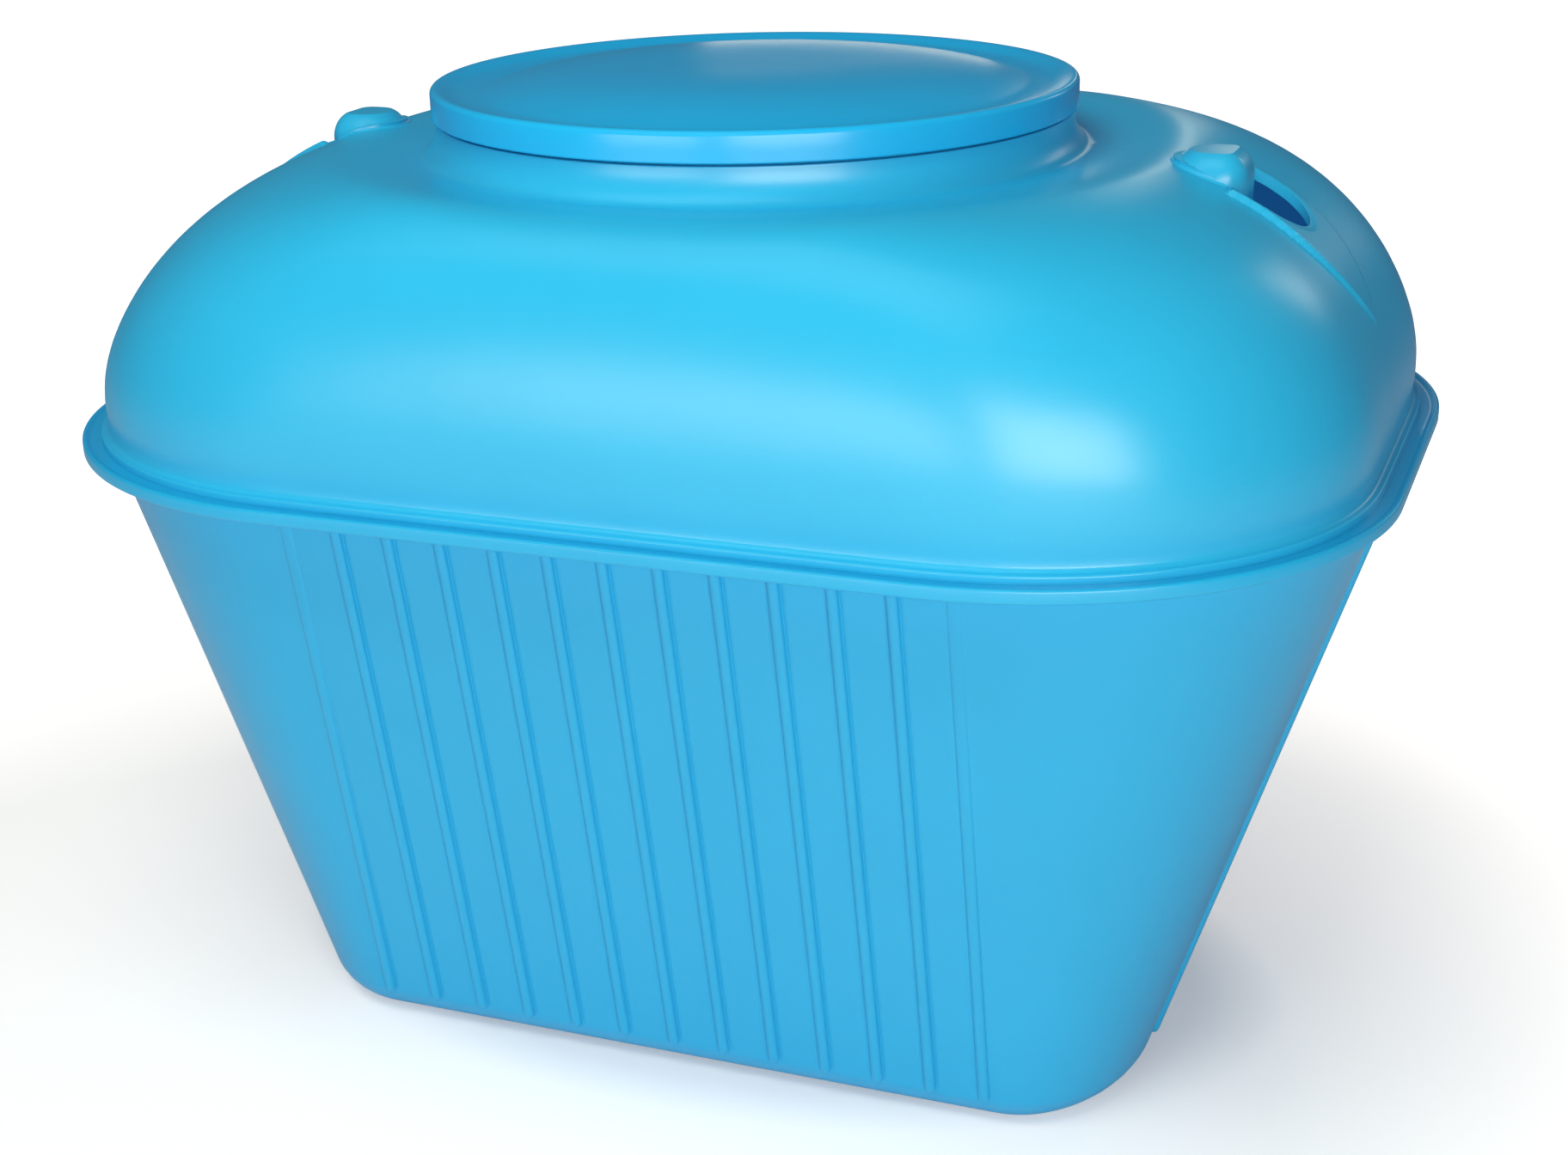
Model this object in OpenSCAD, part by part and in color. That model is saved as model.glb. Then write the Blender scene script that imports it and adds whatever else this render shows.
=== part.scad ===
// Moulded plastic septic tank: a tapered ribbed tub, a pillow-shaped dome that stands on the
// tub's rim, a round manhole neck with a lift-off lid, and a pipe port at each end of the dome.
// Millimetres. The origin is the centre of the base on the ground, X runs along the tank,
// the front faces -Y and Z is up.

/* [Tub] */
// Half length of the tub at the ground, before its foot is rounded
base_half_length = 420; // [410:1:440]
// Half width of the tub at the ground, before its foot is rounded
base_half_width = 266; // [250:1:280]
// Half length of the tub where it meets the rim
top_half_length = 610; // [590:1:612]
// Half width of the tub where it meets the rim
top_half_width = 385; // [365:1:400]
// Half length of the flat part of the long walls at the ground
base_flat_length = 314; // [314:1:320]
// Half length of the flat part of the long walls at the rim
top_flat_length = 344; // [320:1:350]
// Half width of the flat part of the end walls
end_flat_width = 127; // [120:1:140]
// Height of the underside of the rim
rim_under = 588; // [560:1:600]
// Radius of the rounded foot
foot_radius = 32; // [20:1:40]
// Thickness of the moulded skin
skin = 7; // [5:1:8]

/* [Ribs] */
// Number of ribs on each long wall
long_rib_count = 13; // [5:2:13]
// Number of ribs on each end wall
end_rib_count = 5; // [3:2:5]
// Distance between neighbouring ribs
rib_pitch = 51.3; // [40:0.1:52]
// Radius of the rounded ribs
rib_radius = 5.8; // [4:0.1:7]
// Depth of a rib's axis behind the face of the wall
rib_sink = 1; // [0:0.1:2]
// Height of the rounded lower ends of the ribs
rib_foot = 34; // [33:1:80]
// Extra depth to which the outermost long ribs fade into the wall under the rim
rib_fade = 4; // [0:0.5:4]

/* [Rim and dome] */
// Half length of the rim, the longest part of the tank
rim_half_length = 626; // [624:1:640]
// Half width of the rim
rim_half_width = 449; // [440:1:460]
// Half length of the straight part of the rim and the dome
rim_flat_length = 290; // [270:1:300]
// Distance from the rim's edge in to the edge of the dome's foot
foot_inset = 17; // [15:1:18]
// Distance from the rim's edge in to the widest part of the dome
dome_inset = 19; // [19:0.5:24]
// Distance by which the dome draws in again towards its foot
dome_tuck = 6; // [0:1:8]
// Height at which the dome's wall starts above its foot
dome_start = 612; // [610:1:616]
// Height of the dome where the neck grows out of it
dome_top = 856.5; // [850:0.5:857]
// How square the dome's shoulder is towards the left end
left_fullness = 1.95; // [1.7:0.05:2.5]
// How square the dome's shoulder is towards the right end
right_fullness = 2.25; // [1.7:0.05:2.5]
// How square the dome's shoulders are towards the front and back
side_fullness = 2.6; // [2:0.05:3]
// How much softer the shoulders are over the corners
corner_softness = 0.05; // [0:0.05:0.3]
// How early the dome's wall starts to curve in above its foot; 1 is late
shoulder_start = 0.84; // [0.8:0.01:1]

/* [Neck and lid] */
// Outer radius of the lid
lid_radius = 300; // [298:1:302]
// Height of the lower edge of the lid's skirt
skirt_foot = 880; // [878:1:884]
// Height of the neck's top, which the lid rests on
neck_top = 893; // [890:1:895]
// Gap round the neck's upper part and under the lid's skirt
lid_gap = 5.5; // [5:0.1:6]
// Outer radius of the neck below the lid, nearly flush with the lid's skirt
neck_radius = 296; // [292:1:298]
// Radius of the hollow curve between neck and dome
neck_fillet = 17; // [12:1:17]
// Height of the lid's raised edge
lid_edge_height = 907; // [905:1:910]
// Depth of the lid's ring-shaped valley below its edge
valley_depth = 7; // [4:1:10]
// Height of the lid's crown above its valley
crown_rise = 19; // [10:1:20]
// How flat the lid's crown is in the middle and how steep at its edge
crown_power = 4; // [2:0.5:6]

/* [Pipe ports] */
// Distance of the ports from the tank's centre line, towards the back
port_offset = -12; // [-15:1:15]
// Distance by which the left port sits nearer to the tank's centre than the right one
left_port_shift = 30; // [0:1:32]
// Distance from the tank's centre to the hood's round inner end
hood_start = 398; // [390:1:405]
// Distance from the tank's centre to the hood's blunt outer end
hood_end = 466; // [460:1:470]
// Half width of the hood
hood_half_width = 37; // [30:1:42]
// Height of the hood's top
hood_top = 860; // [856:1:862]
// Radius of the hood's rounded top edge
hood_round = 15; // [8:1:16]
// Distance from the tank's centre to the outer end of the port's hole
hole_end = 518; // [510:1:522]
// Half width of the port's hole
hole_half_width = 48; // [44:1:50]
// Half width of the raised lip round the hole
lip_half_width = 56; // [54:1:60]
// Height of the lip above the dome
lip_height = 4.5; // [3:0.5:6]
// Distance from the tank's centre to the outer tip of the lip's tail
tail_end = 582; // [575:1:585]

/* [Hidden] */

tub_colour = [0.18, 0.66, 0.86];
dome_colour = [0.20, 0.69, 0.90];
lid_colour = [0.16, 0.60, 0.82];

// Stations round the outline, counted from +X towards +Y
end_steps = 2;                 // on half the flat of an end
corner_steps = 12;             // round a corner
side_steps = 4;                // on half the flat of a long side
quarter = end_steps + corner_steps + side_steps;
end_split = 5;                 // from the X axis to the edge of an end panel of the dome
side_split = 11;               // from the X axis to the edge of a front or back panel
foot_steps = 5;
dome_rows = 12;

ledge_top = rim_under + 6;
spigot_radius = lid_radius - skin - lid_gap;
flare_radius = neck_radius + neck_fillet;
tuck_share = 0.3;              // share of the dome's height over which it draws in
lid_valley = lid_edge_height - valley_depth;
lid_bend = 5;
crown_radius = lid_radius - 42;
hole_start = hood_end - 10;
tail_start = hole_end - 13;
hood_corner = 24;
hood_base = dome_top - 70;
far = 2000;

// ---- outlines -------------------------------------------------------------------------------

// Point of a quarter outline, from the middle of an end (0) to the middle of a side (quarter)
function quarter_point(j, a, b, flat) =
    j <= end_steps ? [a, end_flat_width * j / end_steps]
    : j >= end_steps + corner_steps ? [flat * (quarter - j) / side_steps, b]
    : let (t = 90 * (j - end_steps) / corner_steps)
        [flat + (a - flat) * cos(t), end_flat_width + (b - end_flat_width) * sin(t)];

// Station k of the outline with half sizes a and b and the given half length of its long flats
function outline_point(k, a, b, flat) =
    let (m = (k + 8 * quarter) % (4 * quarter), turn = floor(m / quarter), j = m % quarter,
         p = quarter_point(turn % 2 == 0 ? j : quarter - j, a, b, flat))
    [turn == 1 || turn == 2 ? -p[0] : p[0], turn >= 2 ? -p[1] : p[1]];

// Share of the walls' lean that is reached at height z
function lean(z) = max(0, z - skin) / (rim_under - skin);
function between(base, top, z) = base + (top - base) * lean(z);

// Station k of the tub's wall at height z, inset from its face
function tub_point(k, inset, z) = concat(outline_point(k,
    between(base_half_length, top_half_length, z) - inset,
    between(base_half_width, top_half_width, z) - inset,
    between(base_flat_length, top_flat_length, z)), z);

// Rows of the tub's skin as [inset, height], from the ground up, depth in from the outside
function tub_rows(depth) = concat(
    [for (j = [0:foot_steps]) let (t = 90 * j / foot_steps, r = foot_radius - depth)
        [foot_radius - r * sin(t), foot_radius - r * cos(t)]],
    [[depth, rim_under]]);

// Station k of the rim and the dome's foot, inset from the rim's edge
function rim_point(k, inset, z) = concat(
    outline_point(k, rim_half_length - inset, rim_half_width - inset, rim_flat_length), z);

// How square the dome's shoulder is on station k
function fullness(k) =
    let (t = 90 * k / quarter, end = cos(t) > 0 ? right_fullness : left_fullness)
    end + (side_fullness - end) * pow(sin(t), 2) - corner_softness * pow(sin(2 * t), 2);

// Station k of the dome's skin at share u of its height, depth in from the outside
function dome_point(k, u, depth) =
    let (t = 90 * k / quarter,
         tuck = dome_tuck * pow(max(0, 1 - u / tuck_share), 2),
         foot = rim_point(k, dome_inset + tuck + depth, 0),
         flare = flare_radius / cos(90 / quarter / 2) * [cos(t), sin(t), 0],
         spread = pow(1 - pow(u, shoulder_start * fullness(k)), 1 / fullness(k)))
    flare + (foot - flare) * spread + [0, 0, dome_start + (dome_top - dome_start - depth) * u];

function dome_grid(first, last, depth) = [for (r = [0:dome_rows]) [for (k = [first:last])
    dome_point(k, sin(90 * r / dome_rows), depth)]];

// Height of the lid's crowned top at radius r
function lid_surface(r) = lid_valley + crown_rise * (1 - pow(r / crown_radius, crown_power));

// ---- solids from grids of points ------------------------------------------------------------

function triangles(quads) = [for (q = quads) each [[q[0], q[1], q[2]], [q[0], q[2], q[3]]]];

// A closed patch of skin: rows run up and columns run from +X towards +Y
module skin_patch(outer, inner) {
    rows = len(outer) - 1;
    cols = len(outer[0]) - 1;
    half = (rows + 1) * (cols + 1);
    function o(r, c) = r * (cols + 1) + c;
    function i(r, c) = half + o(r, c);
    polyhedron([for (grid = [outer, inner], row = grid) each row], triangles(concat(
        [for (r = [0:rows - 1], c = [0:cols - 1])
            each [[o(r, c), o(r + 1, c), o(r + 1, c + 1), o(r, c + 1)],
                  [i(r, c), i(r, c + 1), i(r + 1, c + 1), i(r + 1, c)]]],
        [for (c = [0:cols - 1])
            each [[o(0, c), o(0, c + 1), i(0, c + 1), i(0, c)],
                  [o(rows, c + 1), o(rows, c), i(rows, c), i(rows, c + 1)]]],
        [for (r = [0:rows - 1])
            each [[o(r + 1, 0), o(r, 0), i(r, 0), i(r + 1, 0)],
                  [o(r + 1, cols), i(r + 1, cols), i(r, cols), o(r, cols)]]])));
}

// A closed band right round the tank; each row of the grid is one edge of its profile
module band(grid) {
    sides = len(grid);
    stations = len(grid[0]);
    function at(p, k) = (p % sides) * stations + k % stations;
    polyhedron([for (row = grid) each row],
        triangles([for (p = [0:sides - 1], k = [0:stations - 1])
            [at(p, k), at(p + 1, k), at(p + 1, k + 1), at(p, k + 1)]]));
}

// A solid through a stack of level outlines, from the lowest to the highest
module stack(outlines) {
    rows = len(outlines) - 1;
    count = len(outlines[0]);
    function at(r, c) = r * count + c % count;
    polyhedron([for (row = outlines) each row], concat(
        [[for (c = [0:count - 1]) at(0, c)]], [[for (c = [count - 1:-1:0]) at(rows, c)]],
        triangles([for (r = [0:rows - 1], c = [0:count - 1])
            [at(r, c), at(r + 1, c), at(r + 1, c + 1), at(r, c + 1)]])));
}

// ---- tub ------------------------------------------------------------------------------------

module tub_floor() {
    color(tub_colour) linear_extrude(skin) polygon([for (k = [0:4 * quarter - 1])
        let (p = tub_point(k, foot_radius, 0)) [p[0], p[1]]]);
}

// The flat part of a wall that leans out towards +X; its half width grows from base to top
module flat_wall(base, top, base_flat, top_flat) {
    function face(row) = [between(base, top, row[1]) - row[0], row[1]];
    outside = tub_rows(0);
    inside = tub_rows(skin);
    intersection() {
        rotate([90, 0, 0]) linear_extrude(far, center = true) polygon(concat(
            [for (row = outside) face(row)],
            [for (j = [len(inside) - 1:-1:0]) face(inside[j])]));
        rotate([90, 0, 90]) linear_extrude(far) polygon([[-base_flat, 0], [base_flat, 0],
            [base_flat, skin], [top_flat, rim_under], [-top_flat, rim_under], [-base_flat, skin]]);
    }
}

module long_wall(turn) {
    rotate(turn) flat_wall(base_half_width, top_half_width, base_flat_length, top_flat_length);
}

module end_wall(turn) {
    rotate(turn) flat_wall(base_half_length, top_half_length, end_flat_width, end_flat_width);
}

// The rounded corner in the given quarter of the outline, counted from +X towards +Y
module tub_corner(turn) {
    first = turn * quarter + (turn % 2 == 0 ? end_steps : side_steps);
    function grid(depth) = [for (row = tub_rows(depth)) [for (k = [first:first + corner_steps])
        tub_point(k, row[0], row[1])]];
    skin_patch(grid(0), grid(skin));
}

// Rounded ribs up the face of a wall that leans out towards +X, on the side of the face that
// shows; the outermost may fade into the wall towards the rim
module rib_row(base, top, count, fade) {
    tilt = atan((top - base) / (rim_under - skin));
    intersection() {
        translate([base, 0, skin]) rotate([0, tilt, 0]) difference() {
            for (n = [0:count - 1])
                translate([-rib_sink, (n - (count - 1) / 2) * rib_pitch, rib_foot - skin])
                    rotate([0, n == 0 || n == count - 1 ? -atan(fade / rim_under) : 0, 0]) {
                        cylinder(r = rib_radius, h = far, $fn = 24);
                        sphere(r = rib_radius, $fn = 24);
                    }
            translate([-far, -far / 2, -far / 2]) cube([far, far, 2 * far]);
        }
        translate([-far / 2, -far / 2, 0]) cube([far, far, rim_under]);
    }
}

module long_ribs(turn) {
    color(tub_colour) rotate(turn)
        rib_row(base_half_width, top_half_width, long_rib_count, rib_fade);
}

module end_ribs(turn) {
    color(tub_colour) rotate(turn)
        rib_row(base_half_length, top_half_length, end_rib_count, 0);
}

// Wide ledge with a rolled edge and a shallow groove behind it
module tub_rim() {
    lip = rim_under - 4;
    profile = [[8, rim_under], [8, lip + 2], [6, lip], [1.5, lip], [0, lip + 1.5],
        [0, ledge_top + 1.5], [1, ledge_top + 2.7], [3, ledge_top + 2.5], [7, ledge_top]];
    stations = [0:4 * quarter - 1];
    color(tub_colour) band(concat(
        [[for (k = stations) concat(tub_point(k, skin, rim_under))]],
        [for (p = profile) [for (k = stations) rim_point(k, p[0], p[1])]],
        [[for (k = stations) concat(tub_point(k, skin, rim_under) + [0, 0, ledge_top - rim_under])]]));
}

// ---- dome -----------------------------------------------------------------------------------

// Foot of the dome: a sharp-edged bead that stands in the rim's groove and curves up to the wall
module dome_foot() {
    wall = dome_inset + dome_tuck;
    color(dome_colour) band([for (p = [[wall + skin, ledge_top], [foot_inset, ledge_top],
            [foot_inset, ledge_top + 6], [foot_inset + 0.8, ledge_top + 7.3],
            [foot_inset + 3, ledge_top + 7.5], [wall - 2, ledge_top + 10],
            [wall - 0.5, ledge_top + 14], [wall, dome_start], [wall + skin, dome_start]])
        [for (k = [0:4 * quarter - 1]) rim_point(k, p[0], p[1])]]);
}

module dome_panel(first, last) {
    color(dome_colour) skin_patch(dome_grid(first, last, 0), dome_grid(first, last, skin));
}

// Panel over an end of the dome, open where the port's hood and hole are; side 0 is the right
module dome_end(side) {
    color(dome_colour) difference() {
        dome_panel(2 * quarter * side - end_split, 2 * quarter * side + end_split);
        at_end(side) {
            hood_block(0);
            port_hole();
        }
    }
}

// ---- pipe ports, drawn for the right end -----------------------------------------------------

// Places what is drawn for the right end at the given end of the tank; side 0 is the right
module at_end(side) {
    mirror([side, 0, 0]) translate([-left_port_shift * side, port_offset, 0]) children();
}

// Plan of the hood, round towards the neck and blunt outwards, inset from its edge
function hood_plan(inset) =
    let (r = hood_half_width - inset, corner = hood_corner - inset)
    concat(
        [for (t = [90:15:270]) [hood_start + hood_half_width + r * cos(t), r * sin(t)]],
        [for (t = [-90:22.5:0]) [hood_end - hood_corner + corner * cos(t),
            corner * sin(t) - r + corner]],
        [for (t = [0:22.5:90]) [hood_end - hood_corner + corner * cos(t),
            corner * sin(t) + r - corner]]);

// The hood's solid shape with upright sides and a rounded top edge, inset on all faces
module hood_block(inset) {
    stack([for (t = [-10:20:90]) let (in = hood_round * (1 - cos(max(0, t))))
        [for (p = hood_plan(in + inset))
            concat(p, t < 0 ? hood_base : hood_top - inset - hood_round * (1 - sin(t)))]]);
}

// Upright cutter for the hole: it starts at the hood's outer end and ends in a blunt half ellipse
module port_hole() {
    translate([0, 0, dome_start]) linear_extrude(far) polygon(concat(
        [[hole_start, hole_half_width], [hole_start, -hole_half_width]],
        [for (t = [-85:10:85]) [hood_end + (hole_end - hood_end) * pow(cos(t), 0.7),
            hole_half_width * sin(t)]]));
}

// Upright prism over the lip and its tail, which narrows to a tip down the slope
module lip_plan() {
    steps = 8;
    tail = [for (n = [0:steps]) let (s = n / steps)
        [tail_start + (tail_end - tail_start) * s, lip_half_width * pow(1 - s * s, 0.8)]];
    translate([0, 0, dome_start]) linear_extrude(far) polygon(concat(
        [[hole_start, -lip_half_width]], [for (p = tail) [p[0], -p[1]]],
        [for (n = [steps - 1:-1:0]) tail[n]], [[hole_start, lip_half_width]]));
}

// Raised lip round the hole and its tail, a thin layer on the dome that thins out to the tip
module port_lip(side) {
    middle = 2 * quarter * side;
    rows = [for (r = [0:dome_rows]) sin(90 * r / dome_rows)];
    function height(p) = lip_height * min(1, max(0.1,
        (tail_end - left_port_shift * side - abs(p[0])) / (tail_end - tail_start)));
    raised = [for (u = rows) [for (k = [middle - end_split:middle + end_split])
        dome_point(k, u, -height(dome_point(k, u, 0)))]];
    color(dome_colour) intersection() {
        skin_patch(raised, dome_grid(middle - end_split, middle + end_split, 0));
        at_end(side) difference() {
            lip_plan();
            port_hole();
            hood_block(0);
        }
    }
}

// Hollow hood over the inner side of the hole
module port_hood(side) {
    middle = 2 * quarter * side;
    inside = dome_grid(middle - end_split, middle + end_split, skin);
    color(dome_colour) difference() {
        at_end(side) difference() {
            hood_block(0);
            hood_block(skin);
        }
        skin_patch(inside, [for (row = inside) [for (p = row) p - [0, 0, 200]]]);
    }
}

// ---- neck and lid ---------------------------------------------------------------------------

module manhole_neck() {
    outer = neck_fillet + skin;
    ledge = skirt_foot - lid_gap;
    color(dome_colour) rotate_extrude($fn = 144) {
        translate([flare_radius, dome_top + neck_fillet]) intersection() {
            difference() {
                circle(r = outer, $fn = 64);
                circle(r = neck_fillet, $fn = 64);
            }
            translate([-outer, -outer]) square(outer);
        }
        polygon([[neck_radius - skin / 2, dome_top + neck_fillet],
            [neck_radius, dome_top + neck_fillet], [neck_radius, ledge],
            [spigot_radius, ledge], [spigot_radius, neck_top], [spigot_radius - skin, neck_top],
            [spigot_radius - skin, ledge - skin], [neck_radius - skin / 2, ledge - skin]]);
    }
}

module lid_crown() {
    steps = 16;
    top = [for (s = [0:steps]) let (r = crown_radius * s / steps) [r, lid_surface(r)]];
    edge = [for (t = [90:-15:0])
        [lid_radius - lid_bend * (1 - cos(t)), lid_edge_height - lid_bend * (1 - sin(t))]];
    color(lid_colour) rotate_extrude($fn = 144) polygon(concat(
        top, [[lid_radius - 26, lid_valley], [lid_radius - 14, lid_edge_height - 2]],
        edge, [[lid_radius, neck_top]],
        [for (s = [steps:-1:0]) [top[s][0], max(neck_top, top[s][1] - skin)]]));
}

module lid_skirt() {
    color(lid_colour) rotate_extrude($fn = 144)
        translate([lid_radius - skin, skirt_foot]) square([skin, neck_top - skirt_foot]);
}

tub_floor();
color(tub_colour) long_wall(-90);  // tub_front_wall
color(tub_colour) long_wall(90);  // tub_back_wall
color(tub_colour) end_wall(180);  // tub_left_wall
color(tub_colour) end_wall(0);  // tub_right_wall
color(tub_colour) tub_corner(0);  // tub_back_right_corner
color(tub_colour) tub_corner(1);  // tub_back_left_corner
color(tub_colour) tub_corner(2);  // tub_front_left_corner
color(tub_colour) tub_corner(3);  // tub_front_right_corner
long_ribs(-90);  // front_ribs
long_ribs(90);  // back_ribs
end_ribs(180);  // left_ribs
end_ribs(0);  // right_ribs
tub_rim();
dome_foot();
dome_panel(side_split, 2 * quarter - side_split);  // dome_back
dome_panel(2 * quarter + side_split, 4 * quarter - side_split);  // dome_front
dome_end(1);  // dome_left_end
dome_end(0);  // dome_right_end
dome_panel(end_split, side_split);  // dome_back_right
dome_panel(2 * quarter - side_split, 2 * quarter - end_split);  // dome_back_left
dome_panel(2 * quarter + end_split, 2 * quarter + side_split);  // dome_front_left
dome_panel(4 * quarter - side_split, 4 * quarter - end_split);  // dome_front_right
port_hood(1);  // left_port_hood
port_hood(0);  // right_port_hood
port_lip(1);  // left_port_lip
port_lip(0);  // right_port_lip
manhole_neck();
lid_crown();
lid_skirt();
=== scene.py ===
"""Looks of a moulded plastic septic tank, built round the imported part.

Shapes are worked out in millimetres, most of them from the part's own sizes, and made in metres.
"""

import math

import bpy
import numpy as np
from mathutils import Matrix, Vector


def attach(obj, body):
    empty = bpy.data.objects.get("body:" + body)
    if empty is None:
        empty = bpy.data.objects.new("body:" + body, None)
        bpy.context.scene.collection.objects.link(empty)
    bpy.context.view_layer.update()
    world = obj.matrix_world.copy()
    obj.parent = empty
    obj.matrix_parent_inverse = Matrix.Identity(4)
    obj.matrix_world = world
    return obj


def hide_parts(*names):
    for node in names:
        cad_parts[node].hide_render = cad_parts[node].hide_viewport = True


MM = 0.001

# ---- sizes, as in the part ----------------------------------------------------------------------

END_STEPS, CORNER_STEPS, SIDE_STEPS = 2, 12, 4   # stations on a quarter of the outline
QUARTER = END_STEPS + CORNER_STEPS + SIDE_STEPS
STATIONS = 4 * QUARTER

BASE_HALF_LENGTH, BASE_HALF_WIDTH = 420, 266
TOP_HALF_LENGTH, TOP_HALF_WIDTH = 610, 385
BASE_FLAT_LENGTH, TOP_FLAT_LENGTH = 314, 344
END_FLAT_WIDTH = 127
RIM_UNDER = 588
FOOT_RADIUS = 32
SKIN = 7

LONG_RIBS, END_RIBS = 13, 5
RIB_PITCH = 51.3
RIB_FOOT = 34
RIB_FADE = 4

RIM_HALF_LENGTH, RIM_HALF_WIDTH = 626, 449
RIM_FLAT_LENGTH = 290
LEDGE_TOP = RIM_UNDER + 6
FOOT_INSET = 17
DOME_INSET = 19
DOME_TUCK = 6
TUCK_SHARE = 0.3
DOME_START = 612
LEFT_FULLNESS, RIGHT_FULLNESS, SIDE_FULLNESS = 1.95, 2.25, 2.6
SHOULDER_START = 0.84

LID_RADIUS = 300
SKIRT_FOOT = 880
NECK_TOP = 893
LID_GAP = 5.5
NECK_RADIUS = 296
NECK_FILLET = 17
FLARE_RADIUS = NECK_RADIUS + NECK_FILLET
SPIGOT_RADIUS = LID_RADIUS - SKIN - LID_GAP
LID_EDGE_HEIGHT = 907
VALLEY_DEPTH = 7
CROWN_RISE = 19
CROWN_POWER = 4
CROWN_RADIUS = LID_RADIUS - 42

PORT_OFFSET = -12
LEFT_PORT_SHIFT = 30
HOOD_START, HOOD_END = 398, 466
HOOD_HALF_WIDTH = 37
HOOD_CORNER = 24
HOOD_TOP = 860
HOLE_START, HOLE_END = HOOD_END - 10, 518
HOLE_HALF_WIDTH = 48
HOLE_POWER = 0.7               # under 1 makes the hole's outer end blunt
LIP_HALF_WIDTH = 56
TAIL_START, TAIL_END = HOLE_END - 13, 582

# ---- sizes that the scene alone has, or has finer than the part ---------------------------------

RIB_HALF_WIDTH, RIB_HEIGHT = 5.5, 4.7
RIB_GROOVE_WIDTH, RIB_GROOVE_DEPTH = 1.8, 0.6
RIM_IN_WALL = 5                # from the tub's outer face to the rim's edge inside the wall

FOOT_EDGE = LEDGE_TOP + 5      # height of the upright edge of the dome's foot
FOOT_ROUND, FOOT_HOLLOW = 1.8, 5.5   # radii of its edge and of the hollow curve above it
DOME_TOP = 858.5
LEFT_SOFTNESS, RIGHT_SOFTNESS = 0.07, -0.2
DOME_SKIN = 3.5                # as thin as the ports' edges show it
NECK_DIP, DIP_REACH = 13, 95   # the dome sinks a little towards the neck's foot
NECK_LEDGE = SKIRT_FOOT - 2.5
EDGE_ROUND = 1                 # of the neck's edges

HOOD_ROUND = 26
HOOD_TURN = 62                 # degrees by which the rounding turns before the top's facet begins
HOOD_FILLET = 4
HOOD_SINK = 0.15               # depth of the fillet's edge in the dome
HOOD_IN_HOLE = 815             # height at which the hood's outer end stops inside the hole
HOOD_CROWN = 0.5               # height of the facet's middle over HOOD_TOP
LIP_HEIGHT = 5.5
LIP_BLEND = 0.5                # how far beyond its edges the lip blends into the dome
LIP_FACE = 3.2                 # from the lip's outer edge in to its full height
LIP_FADE = 0.45                # power by which the tail sinks towards its tip
LIP_ROLL, LIP_ROLL_WIDTH = 1.2, 2.5   # how far and how widely the lip rolls down to the hole
TAIL_POWER = 1.25              # a higher power makes the tail's sides fuller

# The dome's mesh is close over the ports. Its stretches (first, last, spacing) are in stations
# round the dome and in millimetres out from its middle.
ROUND_DOME = (-2.7, 2.2, 0.038), (2.2, 33.8, 0.4), (33.8, 38.9, 0.038), (38.9, 69.3, 0.4)
OUT_FROM_NECK = (FLARE_RADIUS + 0.5, 418, 5), (418, 592, 1.7), (592, 605.5, 7)
INNER_ROWS = 20                # on the dome's inner face

# ---- helpers ------------------------------------------------------------------------------------


def mesh_piece(name, points, faces, material, body, sharp):
    """A smooth-shaded object from points in millimetres; edges over sharp degrees stay sharp."""
    mesh = bpy.data.meshes.new(name)
    mesh.from_pydata((np.asarray(points, float) * MM).tolist(), [], faces)
    mesh.validate()
    mesh.materials.append(material)
    piece = bpy.data.objects.new(name, mesh)
    scene.collection.objects.link(piece)
    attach(piece, body)
    smooth(mesh, sharp)
    return piece


def smooth(mesh, sharp):
    """Shades a mesh smooth, apart from its edges over sharp degrees."""
    mesh.polygons.foreach_set("use_smooth", [True] * len(mesh.polygons))
    mesh.set_sharp_from_angle(angle=math.radians(sharp))
    mesh.update()


def grid_faces(rows, cols, wrap_rows=False):
    """Quads of closed rows of points, facing outwards where the rows go up counterclockwise."""
    r, c = np.divmod(np.arange((rows if wrap_rows else rows - 1) * cols), cols)
    above, beside = (r + 1) % rows, (c + 1) % cols
    corners = [r * cols + c, r * cols + beside, above * cols + beside, above * cols + c]
    return np.stack(corners, -1).tolist()


def steps(*stretches):
    """Joins stretches (first, last, spacing) into one rising list of numbers."""
    parts = [np.linspace(a, b, max(2, int(round((b - a) / d)) + 1))[:-1] for a, b, d in stretches]
    return np.concatenate(parts + [[stretches[-1][1]]])


def arc(x, z, radius, first, last, count):
    """A number of points on an arc about (x, z), from angle first to last in degrees."""
    t = np.radians(np.linspace(first, last, count))
    return [(x + radius * c, z + radius * s) for c, s in zip(np.cos(t), np.sin(t))]


def ramp(x, low, high):
    """Smooth step from 0 at low to 1 at high."""
    t = np.clip((x - low) / (high - low), 0, 1)
    return t * t * (3 - 2 * t)


def outline(k, a, b, flat):
    """The outline at stations k, counted from +X towards +Y, for half sizes a and b."""
    k = np.asarray(k, float) % STATIONS
    turn = np.floor(k / QUARTER).astype(int)
    j = np.where(turn % 2 == 0, k % QUARTER, QUARTER - k % QUARTER)
    t = np.radians(90 * np.clip((j - END_STEPS) / CORNER_STEPS, 0, 1))
    side = j >= END_STEPS + CORNER_STEPS
    x = np.where(j <= END_STEPS, a, np.where(side, flat * (QUARTER - j) / SIDE_STEPS,
                                             flat + (a - flat) * np.cos(t)))
    y = np.where(j <= END_STEPS, END_FLAT_WIDTH * j / END_STEPS,
                 np.where(side, b, END_FLAT_WIDTH + (b - END_FLAT_WIDTH) * np.sin(t)))
    return np.stack([np.where((turn == 1) | (turn == 2), -x, x), np.where(turn >= 2, -y, y)], -1)


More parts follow.
